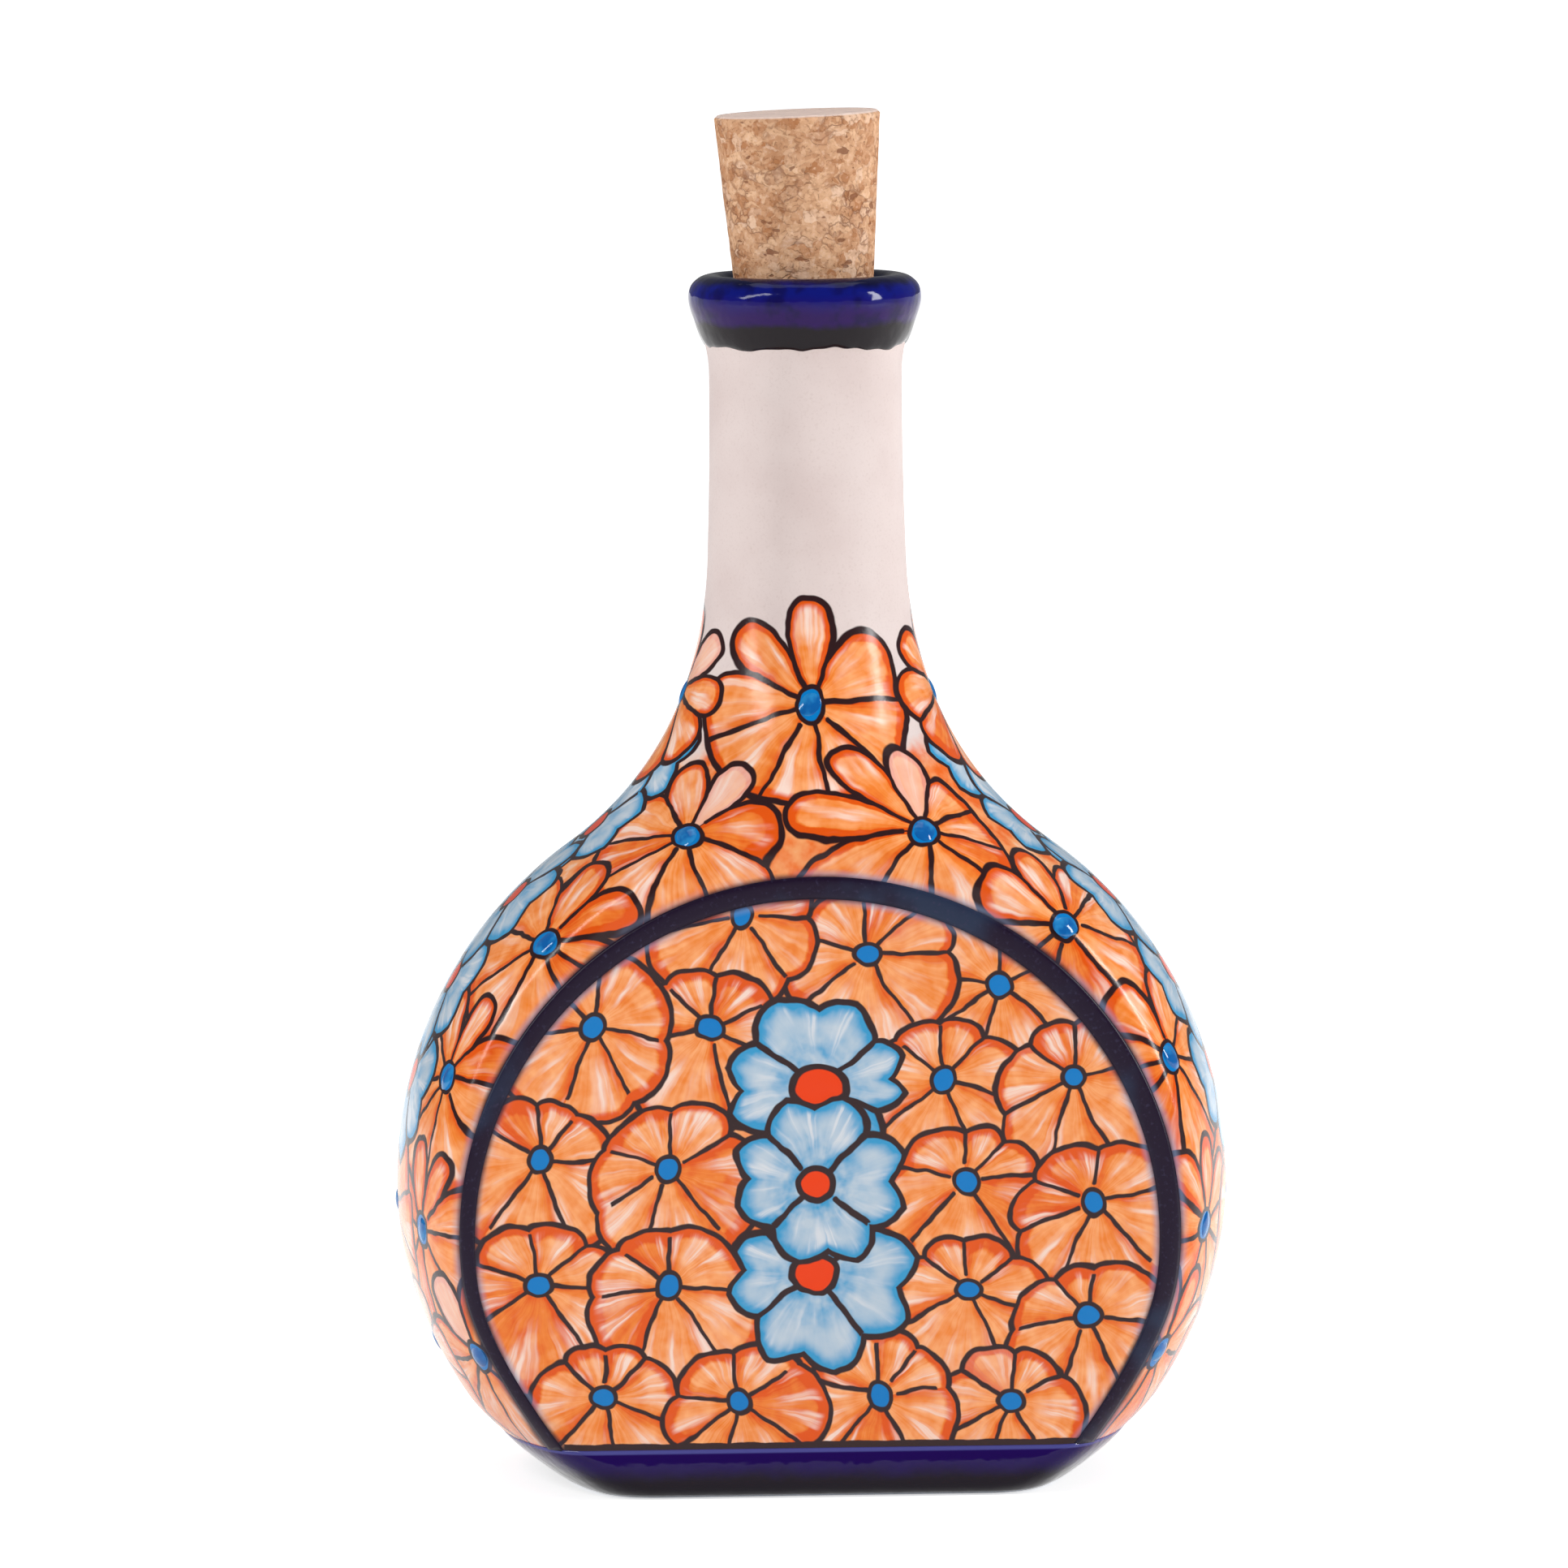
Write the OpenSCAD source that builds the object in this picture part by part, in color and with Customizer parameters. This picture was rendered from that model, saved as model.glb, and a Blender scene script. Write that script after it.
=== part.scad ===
// Ceramic decanter: a round-bellied flask with two flat faces, a tall neck with a rolled lip,
// bands of cobalt glaze and a tapered cork stopper.
// The origin is at the centre of the base, +Z is up and the front face looks towards -Y.

/* [Belly] */
// Radius of the belly at its widest level, seen from the front
belly_r = 64; // [56:0.5:76]
// Height of the widest level above the base
belly_z = 45.5; // [40:0.5:50]
// Radius of the arc that draws the belly in below its widest level
lower_r = 58; // [54:0.5:62]
// Depth between the two flat faces
depth = 60; // [50:1:80]
// Thickness of the fired wall
wall = 4; // [3:0.25:5]
// Thickness of the floor
floor_t = 5; // [3:0.5:8]
// Rounding of the edge that the flask stands on
foot_round = 3; // [1:0.25:5]

/* [Neck and lip] */
// Outer radius of the neck
neck_r = 14.8; // [12:0.1:18]
// Radius of the hollow sweep from the belly into the neck
shoulder_r = 54; // [40:1:66]
// Height of the lip's crest above the base
flask_h = 184.5; // [172:0.5:220]
// Radius of the lip's rolled bead
lip_bead_r = 3.45; // [2.5:0.05:5]
// Radius of the hollow sweep under the bead
lip_sweep_r = 20; // [8:1:30]

/* [Cobalt glaze] */
// Thickness of the cobalt coats
glaze_t = 0.5; // [0.3:0.05:1]
// Height of the foot band's upper edge
foot_band_top = 8; // [5:0.5:16]
// Height of the bare strip left under the foot band
foot_band_low = 1; // [0.5:0.25:2.5]
// How far the lip's coat reaches down from the crest
rim_coat_drop = 10.5; // [7:0.5:20]
// Bare ring left between the mouth and the lip's coat
rim_coat_setback = 1.7; // [1:0.1:3]
// How far the arch painted round each flat face lies inside the belly's radius
arch_inset = 9; // [6:0.5:16]
// Width of the arch's stripe
arch_w = 2.5; // [1.5:0.25:5]
// How far the arch's centre lies below the widest level
arch_drop = 4.5; // [0:0.5:10]

/* [Cork] */
// Height of the cork's top above the lip's crest
cork_proud = 25.5; // [15:0.5:35]
// Length of the cork below the narrowest level of the mouth
cork_inside = 3; // [2:0.25:10]
// Angle between the cork's side and its axis
cork_taper = 4.4; // [2:0.1:6]
// Angle by which the cork leans to the left in the mouth
cork_lean = 2; // [0:0.25:3]
// Gap between the cork and the mouth
cork_gap = 0.3; // [0.2:0.05:0.5]
// Bevel round the cork's two ends
cork_bevel = 0.5; // [0.2:0.1:1.5]

/* [Hidden] */
$fn = 96;
// Largest distance between an arc of the outline and its straight steps
arc_sag = 0.04;

// Centre of the arc under the widest level
lower_x = belly_r - lower_r;
// Level at which the shoulder's sweep runs out into the neck
shoulder_z = belly_z + sqrt(pow(belly_r + shoulder_r, 2) - pow(neck_r + shoulder_r, 2));
// Angle at which the belly's arc meets the shoulder's sweep
shoulder_a = atan2(shoulder_z - belly_z, neck_r + shoulder_r);
// Centre of the round edge under the foot, and the angle at which it meets the belly's lower arc
foot_edge_x = lower_x + sqrt(pow(lower_r - foot_round, 2) - pow(belly_z - foot_round, 2));
foot_edge_a = atan2(foot_round - belly_z, foot_edge_x - lower_x);
// Bore of the neck and the centre of the lip's bead, whose inner side is flush with that bore
bore_r = neck_r - wall;
lip_x = bore_r + lip_bead_r;
lip_z = flask_h - lip_bead_r;
// Level at which the sweep under the lip runs out into the neck, and the angle at which it meets the bead
lip_sweep_x = neck_r + lip_sweep_r;
lip_sweep_z = lip_z - sqrt(pow(lip_bead_r + lip_sweep_r, 2) - pow(lip_sweep_x - lip_x, 2));
lip_sweep_a = atan2(lip_z - lip_sweep_z, lip_x - lip_sweep_x);
// Lowest level of the hollow's curved wall, as an angle on the belly's lower arc
hollow_a = asin((floor_t - belly_z) / (lower_r - wall));
// Outer radius of the arch and the level of its centre
arch_r = belly_r - arch_inset;
arch_z = belly_z - arch_drop;
// The cork's size, from its gap at the narrowest level of the mouth
cork_top = lip_bead_r + cork_proud;
cork_seat_r = bore_r - cork_gap;
cork_top_r = cork_seat_r + cork_top * tan(cork_taper);
cork_end_r = cork_seat_r - cork_inside * tan(cork_taper);
// A length past every side of the flask
beyond = 2 * (belly_r + depth);

// Points of an arc of radius r grown by g, in as many steps as keep the plain arc within its sag
function arc_steps(r, from, to) = ceil(abs(to - from) / (2 * acos(1 - arc_sag / r)));
function arc(centre, r, g, from, to) = let (n = arc_steps(r, from, to)) [
    for (i = [0:n]) let (a = from + (to - from) * i / n) centre + (r + g) * [cos(a), sin(a)]
];
// The points of a list without its first one
function after_first(points) = [for (i = [1:len(points) - 1]) points[i]];

// Outline of the foot and the belly up to the shoulder, grown by g
function belly_points(g) = concat(
    [[0, -g]],
    arc([foot_edge_x, foot_round], foot_round, g, -90, foot_edge_a),
    after_first(arc([lower_x, belly_z], lower_r, g, foot_edge_a, 0)),
    after_first(arc([0, belly_z], belly_r, g, 0, shoulder_a))
);
// Outline of the shoulder, down which g grows the flask
function shoulder_points(g) = arc([neck_r + shoulder_r, shoulder_z], shoulder_r, -g, 180 + shoulder_a, 180);
// Outline of the lip from the sweep under it, over the crest and down to the mouth, grown by g
function lip_points(g) = concat(
    arc([lip_sweep_x, lip_sweep_z], lip_sweep_r, -g, 180, lip_sweep_a),
    after_first(arc([lip_x, lip_z], lip_bead_r, g, lip_sweep_a - 180, 180))
);

// Slab between the two flat faces, with the edges it stands on rounded, grown by g
module flat_faces(g) {
    corner = arc([depth / 2 - foot_round, foot_round], foot_round, g, -90, 0);
    half = concat(corner, [[depth / 2 + g, flask_h + foot_round]]);
    other_half = [for (i = [len(half) - 1:-1:0]) [-half[i][0], half[i][1]]];
    rotate([90, 0, 90]) linear_extrude(height = beyond, center = true) polygon(concat(half, other_half));
}

// Foot, belly and shoulder without the neck, grown by g
module belly_form(g) {
    intersection() {
        rotate_extrude() polygon(concat(belly_points(g), after_first(shoulder_points(g)), [[0, shoulder_z]]));
        flat_faces(g);
    }
}

// Outside of the whole flask, with its mouth filled
module flask_form() {
    intersection() {
        rotate_extrude() polygon(concat(
            belly_points(0),
            after_first(shoulder_points(0)),
            lip_points(0),
            [[0, lip_z]]
        ));
        flat_faces(0);
    }
}

// Hollow of the flask, from the floor up to the narrowest level of the mouth
module flask_hollow() {
    intersection() {
        rotate_extrude() polygon(concat(
            [[0, floor_t]],
            arc([lower_x, belly_z], lower_r, -wall, hollow_a, 0),
            after_first(arc([0, belly_z], belly_r, -wall, 0, shoulder_a)),
            after_first(shoulder_points(-wall)),
            [[bore_r, lip_z], [0, lip_z]]
        ));
        translate([-beyond / 2, wall - depth / 2, 0]) cube([beyond, depth - 2 * wall, flask_h]);
    }
}

// Ring of the painted arch, drawn through the front half of the flask
module arch_ring() {
    translate([0, 0, arch_z]) rotate([90, 0, 0]) linear_extrude(height = depth) difference() {
        circle(r = arch_r);
        circle(r = arch_r - arch_w);
    }
}

// Coat of the arch on the front face, down to the foot band
module arch_coat() {
    intersection() {
        difference() {
            belly_form(glaze_t);
            belly_form(0);
        }
        arch_ring();
        translate([-beyond / 2, -beyond / 2, foot_band_top]) cube([beyond, beyond, flask_h]);
    }
}

module flask_body() {
    color("linen") difference() {
        flask_form();
        flask_hollow();
    }
}

module rim_glaze() {
    color("midnightblue") rotate_extrude() difference() {
        intersection() {
            polygon(concat([[0, lip_sweep_z]], lip_points(glaze_t), [[0, lip_z]]));
            translate([bore_r + rim_coat_setback, flask_h - rim_coat_drop])
                square([beyond, rim_coat_drop + 2 * glaze_t]);
        }
        polygon(concat([[0, lip_sweep_z]], lip_points(0), [[0, lip_z]]));
    }
}

module foot_glaze() {
    color("midnightblue") difference() {
        intersection() {
            belly_form(glaze_t);
            translate([-beyond / 2, -beyond / 2, foot_band_low])
                cube([beyond, beyond, foot_band_top - foot_band_low]);
        }
        belly_form(0);
    }
}

module front_arch_glaze() {
    color("midnightblue") arch_coat();
}

module back_arch_glaze() {
    color("midnightblue") rotate([0, 0, 180]) arch_coat();
}

module cork_stopper() {
    color("burlywood") translate([0, 0, lip_z]) rotate([0, -cork_lean, 0]) rotate_extrude() polygon([
        [0, -cork_inside],
        [cork_end_r - cork_bevel, -cork_inside],
        [cork_end_r + cork_bevel * tan(cork_taper), cork_bevel - cork_inside],
        [cork_top_r - cork_bevel * tan(cork_taper), cork_top - cork_bevel],
        [cork_top_r - cork_bevel, cork_top],
        [0, cork_top]
    ]);
}

flask_body();
rim_glaze();
foot_glaze();
front_arch_glaze();
back_arch_glaze();
cork_stopper();
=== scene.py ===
import math
from contextlib import contextmanager
import bpy
import numpy as np
from mathutils import Matrix, Vector, noise


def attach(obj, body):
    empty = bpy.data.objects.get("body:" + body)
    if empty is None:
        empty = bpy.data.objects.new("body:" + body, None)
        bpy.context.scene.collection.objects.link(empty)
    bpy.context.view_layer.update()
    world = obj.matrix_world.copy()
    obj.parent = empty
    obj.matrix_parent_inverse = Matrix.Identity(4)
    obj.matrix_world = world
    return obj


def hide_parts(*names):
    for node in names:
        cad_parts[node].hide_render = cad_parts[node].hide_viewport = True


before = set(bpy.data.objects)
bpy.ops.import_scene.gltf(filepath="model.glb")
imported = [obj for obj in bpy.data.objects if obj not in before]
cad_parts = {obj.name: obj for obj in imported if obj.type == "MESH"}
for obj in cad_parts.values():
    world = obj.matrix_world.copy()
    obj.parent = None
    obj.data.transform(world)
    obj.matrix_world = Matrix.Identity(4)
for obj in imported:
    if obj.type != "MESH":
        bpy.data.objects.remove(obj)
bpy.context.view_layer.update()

MM = 0.001

# Sizes of the flask in millimetres, as in the solids
BELLY_R = 64.0
BELLY_Z = 45.5
LOWER_R = 58.0
HALF_DEPTH = 30.0
WALL = 4.0
FLOOR_T = 5.0
FOOT_ROUND = 3.0
NECK_R = 14.8
SHOULDER_R = 54.0
FLASK_H = 184.5
LIP_BEAD_R = 3.45
LIP_SWEEP_R = 20.0
FOOT_BAND_TOP = 8.0
ARCH_R = 55.0
ARCH_W = 2.5
CORK_TOP = LIP_BEAD_R + 25.5
CORK_INSIDE = 3.0
CORK_TAPER = math.radians(4.4)
CORK_LEAN = math.radians(2.0)
CORK_GAP = 0.3
CORK_BEVEL = 0.5
# Sizes that the photograph shows a little differently: the foot band's lower edge and the level of the arch's centre
FOOT_BAND_LOW = 0.4
ARCH_Z = 40.3
# How far the flat faces blend into the round belly, and the depth beyond which a point belongs to a face
FACE_BLEND = 5.0
FACE_FROM = 21.0

LOWER_X = BELLY_R - LOWER_R
SHOULDER_Z = BELLY_Z + math.sqrt((BELLY_R + SHOULDER_R) ** 2 - (NECK_R + SHOULDER_R) ** 2)
SHOULDER_A = math.atan2(SHOULDER_Z - BELLY_Z, NECK_R + SHOULDER_R)
FOOT_EDGE_X = LOWER_X + math.sqrt((LOWER_R - FOOT_ROUND) ** 2 - (BELLY_Z - FOOT_ROUND) ** 2)
FOOT_EDGE_A = math.atan2(FOOT_ROUND - BELLY_Z, FOOT_EDGE_X - LOWER_X)
BORE_R = NECK_R - WALL
LIP_X = BORE_R + LIP_BEAD_R
LIP_Z = FLASK_H - LIP_BEAD_R
LIP_SWEEP_X = NECK_R + LIP_SWEEP_R
LIP_SWEEP_Z = LIP_Z - math.sqrt((LIP_BEAD_R + LIP_SWEEP_R) ** 2 - (LIP_SWEEP_X - LIP_X) ** 2)
LIP_SWEEP_A = math.atan2(LIP_Z - LIP_SWEEP_Z, LIP_X - LIP_SWEEP_X)
HOLLOW_A = math.asin((FLOOR_T - BELLY_Z) / (LOWER_R - WALL))
CORK_SEAT_R = BORE_R - CORK_GAP
CORK_END_R = CORK_SEAT_R - CORK_INSIDE * math.tan(CORK_TAPER)
CORK_TOP_R = CORK_SEAT_R + CORK_TOP * math.tan(CORK_TAPER)


def arc(centre, radius, start, end, step):
    """Points along an arc, no further apart than step"""
    count = max(2, math.ceil(abs(end - start) * radius / step))
    turn = np.linspace(start, end, count + 1)
    return np.stack([centre[0] + radius * np.cos(turn), centre[1] + radius * np.sin(turn)], 1)


def line(start, end, step):
    """Points along a straight line, no further apart than step"""
    count = max(1, math.ceil(math.dist(start, end) / step))
    return np.linspace(start, end, count + 1)


def joined(*runs):
    """One outline from runs of points that each start where the last one ends"""
    return np.concatenate([runs[0]] + [run[1:] for run in runs[1:]])


def belly_run(step):
    """Outline from the foot's round edge up to the shoulder's end"""
    return joined(
        arc((FOOT_EDGE_X, FOOT_ROUND), FOOT_ROUND, -math.pi / 2, FOOT_EDGE_A, step / 2),
        arc((LOWER_X, BELLY_Z), LOWER_R, FOOT_EDGE_A, 0, step),
        arc((0, BELLY_Z), BELLY_R, 0, SHOULDER_A, step),
        arc((NECK_R + SHOULDER_R, SHOULDER_Z), SHOULDER_R, math.pi + SHOULDER_A, math.pi, step),
    )


def lip_run(grow, step):
    """Outline from the sweep under the lip, over the crest and down to the mouth, grown by grow"""
    return joined(
        arc((LIP_SWEEP_X, LIP_SWEEP_Z), LIP_SWEEP_R - grow, math.pi, LIP_SWEEP_A, step),
        arc((LIP_X, LIP_Z), LIP_BEAD_R + grow, LIP_SWEEP_A - math.pi, math.pi, step / 2),
    )


def soft_min(a, b, blend):
    """The smaller of two lengths, rounded over where they are close"""
    near = np.clip(blend - np.abs(a - b), 0, None) / blend
    return np.minimum(a, b) - near ** 2 * blend / 4


def soft_step(share):
    """A share from 0 to 1, eased at both ends"""
    return share ** 2 * (3 - 2 * share)


def face_depth(z):
    """Distance of a flat face from the middle at a height, with the edge it stands on rounded"""
    under = np.clip(FOOT_ROUND - np.asarray(z, float), 0, FOOT_ROUND)
    return HALF_DEPTH - FOOT_ROUND + np.sqrt(FOOT_ROUND ** 2 - under ** 2)


def deselect():
    """Leaves the editing of a mesh and selects nothing"""
    if bpy.context.object and bpy.context.object.mode != "OBJECT":
        bpy.ops.object.mode_set(mode="OBJECT")
    bpy.ops.object.select_all(action="DESELECT")


@contextmanager
def editing(kind):
    """Edits the mesh of the piece in hand, at first with all of it selected as vertices or faces"""
    bpy.ops.object.mode_set(mode="EDIT")
    bpy.ops.mesh.select_mode(type=kind)
    bpy.ops.mesh.select_all(action="SELECT")
    yield
    bpy.ops.object.mode_set(mode="OBJECT")


def pick(piece):
    """Selects one piece alone"""
    deselect()
    piece.select_set(True)
    bpy.context.view_layer.objects.active = piece


def named(name):
    """The object just made, under its name"""
    piece = bpy.context.object
    piece.name = name
    piece.data.name = name
    return piece


# Vertices closer than this are one
SAME_PLACE = 0.01


def turned(name, outline, steps):
    """A piece drawn point by point from one vertex and spun round the axis, from an outline in millimetres"""
    deselect()
    points = np.asarray(outline) * MM
    bpy.ops.mesh.primitive_plane_add(size=MM, location=(0, 0, 0))
    piece = named(name)
    with editing("VERT"):
        bpy.ops.mesh.merge(type="CENTER")
        bpy.ops.transform.translate(value=(points[0][0], 0, points[0][1]))
        for here, there in zip(points, points[1:]):
            move = (there[0] - here[0], 0, there[1] - here[1])
            bpy.ops.mesh.extrude_vertices_move(TRANSFORM_OT_translate={"value": move})
        bpy.ops.mesh.select_all(action="SELECT")
        bpy.ops.mesh.spin(steps=steps, angle=2 * math.pi, center=(0, 0, 0), axis=(0, 0, 1))
        bpy.ops.mesh.select_all(action="SELECT")
        bpy.ops.mesh.remove_doubles(threshold=SAME_PLACE * MM)
        bpy.ops.mesh.normals_make_consistent(inside=False)
    bpy.ops.object.shade_smooth()
    return piece


def places(piece):
    """A piece's vertices in millimetres"""
    flat = np.empty(len(piece.data.vertices) * 3)
    piece.data.vertices.foreach_get("co", flat)
    return flat.reshape(-1, 3) / MM


def put(piece, spots):
    """Moves a piece's vertices to these places, in millimetres"""
    piece.data.vertices.foreach_set("co", (np.asarray(spots) * MM).ravel())
    piece.data.update()


# How many vertices are compared at one time
AT_ONCE = 8192


def nearest_on(outline, spots):
    """For each vertex, the number of the outline point that it was spun from"""
    radius = np.hypot(spots[:, 0], spots[:, 1])
    found = np.empty(len(spots), int)
    for start in range(0, len(spots), AT_ONCE):
        part = slice(start, start + AT_ONCE)
        gap = (radius[part, None] - outline[None, :, 0]) ** 2 + (spots[part, 2, None] - outline[None, :, 1]) ** 2
        found[part] = gap.argmin(1)
    return found


def pressed_flat(spots, depth):
    """Presses the front and back of a turned form flat, each point to its own depth"""
    flat = spots.copy()
    flat[:, 1] = np.sign(spots[:, 1]) * soft_min(np.abs(spots[:, 1]), depth, FACE_BLEND)
    return flat


# The potter's own line is drawn in by a share between these heights, and is fuller where the neck starts
DRAW_IN = 0.01
DRAW_IN_FROM, DRAW_IN_TO = 40.0, 12.0
NECK_SWELL = 0.65
NECK_SWELL_Z, NECK_SWELL_SPAN = 132.0, 17.0


def drawn(rows):
    """An outline of the solids in the potter's own line"""
    rows = np.array(rows, float)
    low = np.clip((DRAW_IN_FROM - rows[:, 1]) / (DRAW_IN_FROM - DRAW_IN_TO), 0, 1)
    rows[:, 0] *= 1 - DRAW_IN * soft_step(low)
    rows[:, 0] += NECK_SWELL * np.exp(-((rows[:, 1] - NECK_SWELL_Z) / NECK_SWELL_SPAN) ** 2)
    return rows


# The share by which the foot's two sides are cut in at the base, the height at which that starts and its curve
FOOT_CUT = 0.09
FOOT_CUT_TOP = 12.5
FOOT_CUT_CURVE = 1.4


def cut_in(spots):
    """Cuts the foot's sides in, most at the base and midway between the flat faces"""
    low = np.clip((FOOT_CUT_TOP - spots[:, 2]) / FOOT_CUT_TOP, 0, 1)
    between = np.clip(1 - (spots[:, 1] / HALF_DEPTH) ** 2, 0, 1)
    cut = spots.copy()
    cut[:, 0] *= 1 - FOOT_CUT * low ** FOOT_CUT_CURVE * between
    return cut


# The fired flask: outside, rolled lip, neck bore and hollow, in one closed wall
OUTER_STEP = 1.35
INNER_STEP = 3.5
FLASK_STEPS = 264
outside = drawn(joined(
    line((0, 0), (FOOT_EDGE_X, 0), INNER_STEP),
    belly_run(OUTER_STEP),
    line((NECK_R, SHOULDER_Z), (NECK_R, LIP_SWEEP_Z), OUTER_STEP),
    lip_run(0, OUTER_STEP),
))
inside = joined(
    line((BORE_R, LIP_Z), (BORE_R, SHOULDER_Z), INNER_STEP),
    arc((NECK_R + SHOULDER_R, SHOULDER_Z), SHOULDER_R + WALL, math.pi, math.pi + SHOULDER_A, INNER_STEP),
    arc((0, BELLY_Z), BELLY_R - WALL, SHOULDER_A, 0, INNER_STEP),
    arc((LOWER_X, BELLY_Z), LOWER_R - WALL, 0, HOLLOW_A, INNER_STEP),
    line((LOWER_X + (LOWER_R - WALL) * math.cos(HOLLOW_A), FLOOR_T), (0, FLOOR_T), INNER_STEP),
)
flask_outline = joined(outside, inside)
flask = turned("painted_flask", flask_outline, FLASK_STEPS)
spun = places(flask)
is_inside = nearest_on(flask_outline, spun) >= len(outside)
pressed = pressed_flat(spun, np.where(is_inside, HALF_DEPTH - WALL, face_depth(spun[:, 2])))
put(flask, np.where(is_inside[:, None], pressed, cut_in(pressed)))

# The cobalt band round the foot: its thickness in the middle and at its two edges, and how deep it is sunk
BAND_STEP = 0.6
BAND_T = 0.45
BAND_EDGE_T = 0.06
BAND_SUNK = 0.15
# How full the band stays towards its edges
BAND_CURVE = 5
band_rows = drawn(belly_run(BAND_STEP))
band_rows = band_rows[(band_rows[:, 1] > FOOT_BAND_LOW) & (band_rows[:, 1] < FOOT_BAND_TOP)]


def crowned(rows):
    """A closed outline round a coat that is full in the middle and thin at its two edges"""
    along = np.linspace(-1, 1, len(rows))
    run = np.gradient(rows, axis=0)
    out = np.stack([run[:, 1], -run[:, 0]], 1)
    out /= np.linalg.norm(out, axis=1)[:, None]
    full = BAND_EDGE_T + (BAND_T - BAND_EDGE_T) * (1 - np.abs(along) ** BAND_CURVE)
    outer = rows + out * full[:, None]
    inner = rows - out * BAND_SUNK
    return np.concatenate([outer, inner[::-1], outer[:1]])


foot_band = turned("foot_band", crowned(band_rows), FLASK_STEPS)
spun = places(foot_band)
grown = np.hypot(spun[:, 0], spun[:, 1]) - np.interp(spun[:, 2], band_rows[:, 1], band_rows[:, 0])
put(foot_band, cut_in(pressed_flat(spun, face_depth(spun[:, 2]) + grown)))

# The thick cobalt coat over the lip: fuller under the bead than the clay, with a lower edge that ran a little
RIM_MARKS = (
    (12.35, 183.95), (13.2, 184.85), (14.4, 185.25), (15.6, 185.05), (16.4, 184.65), (17.2, 183.95), (17.65, 183.2),
    (17.9, 182.15), (17.85, 180.9), (17.55, 179.65), (17.1, 178.4), (16.7, 177.15), (16.25, 175.9), (15.7, 174.8),
    (15.2, 174.3))
RIM_STEP, RIM_UNDER_STEP = 0.5, 0.8
RIM_STEPS = 180
RIM_SUNK = 0.12
# How far the lower edge runs up or down, the height above which the coat keeps still, and the curve between them
RIM_RUN = 0.6
RIM_RUN_TOP = 177.0
RIM_RUN_CURVE = 1.5


def smooth_run(marks, step):
    """A smooth run of points through a few marks"""
    marks = np.asarray(marks, float)
    ends = np.concatenate([[2 * marks[0] - marks[1]], marks, [2 * marks[-1] - marks[-2]]])
    run = []
    for p0, p1, p2, p3 in zip(ends, ends[1:], ends[2:], ends[3:]):
        t = np.linspace(0, 1, max(2, math.ceil(math.dist(p1, p2) / step)), endpoint=False)[:, None]
        run.append(0.5 * (2 * p1 + (p2 - p0) * t + (2 * p0 - 5 * p1 + 4 * p2 - p3) * t ** 2
                          + (3 * p1 - p0 - 3 * p2 + p3) * t ** 3))
    return np.concatenate(run + [marks[-1:]])


def waves(turns, pace, row):
    """Soft waves round the axis, closer together at a higher pace"""
    return np.array([noise.noise((pace * math.cos(turn), pace * math.sin(turn), row)) for turn in turns])


rim_face = smooth_run(RIM_MARKS, RIM_STEP)
rim_under = lip_run(-RIM_SUNK, RIM_UNDER_STEP)
rim_under = rim_under[(rim_under[:, 1] > RIM_MARKS[-1][1]) & (rim_under[:, 0] > RIM_MARKS[0][0])]
rim_coat = turned("rim_coat", np.concatenate([rim_face, rim_under, rim_face[:1]]), RIM_STEPS)
spots = places(rim_coat)
around = np.arctan2(spots[:, 0], -spots[:, 1])
runs = waves(around, 2.2, 3.0) + 0.5 * waves(around, 6.0, 8.0)
low_share = np.clip((RIM_RUN_TOP - spots[:, 2]) / (RIM_RUN_TOP - RIM_MARKS[-1][1]), 0, 1)
spots[:, 2] += runs * RIM_RUN * low_share ** RIM_RUN_CURVE
put(rim_coat, spots)

# The stripes round the two flat faces, brushed wider on the right and at the top
STRIPE_W = 2.8
STRIPE_SWELL = 0.5
STRIPE_RISE = 0.6
STRIPE_POINTS = 256
STRIPE_ROWS = 6
# The coat's height over the clay at its edges, what it gains in the middle, that gain's curve and its thickness
STRIPE_EDGE = 0.04
STRIPE_CROWN = 0.1
STRIPE_CURVE = 4
STRIPE_T = 0.3
# How far the stripe's ends lie behind the foot band
STRIPE_LAP = 0.4
# The share by which the stripe is drawn in towards its two ends, between these heights
END_PINCH = 0.055
END_FROM, END_TO = 34.0, 8.0


def pinched(z):
    """How much narrower the stripe's arch is at a height than a plain circle"""
    low = np.clip((END_FROM - z) / (END_FROM - END_TO), 0, 1)
    return 1 - END_PINCH * soft_step(low)


def wall_radius(z):
    """Outside radius of the turned form at a height"""
    return np.interp(z, outside[:, 1], outside[:, 0])


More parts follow.
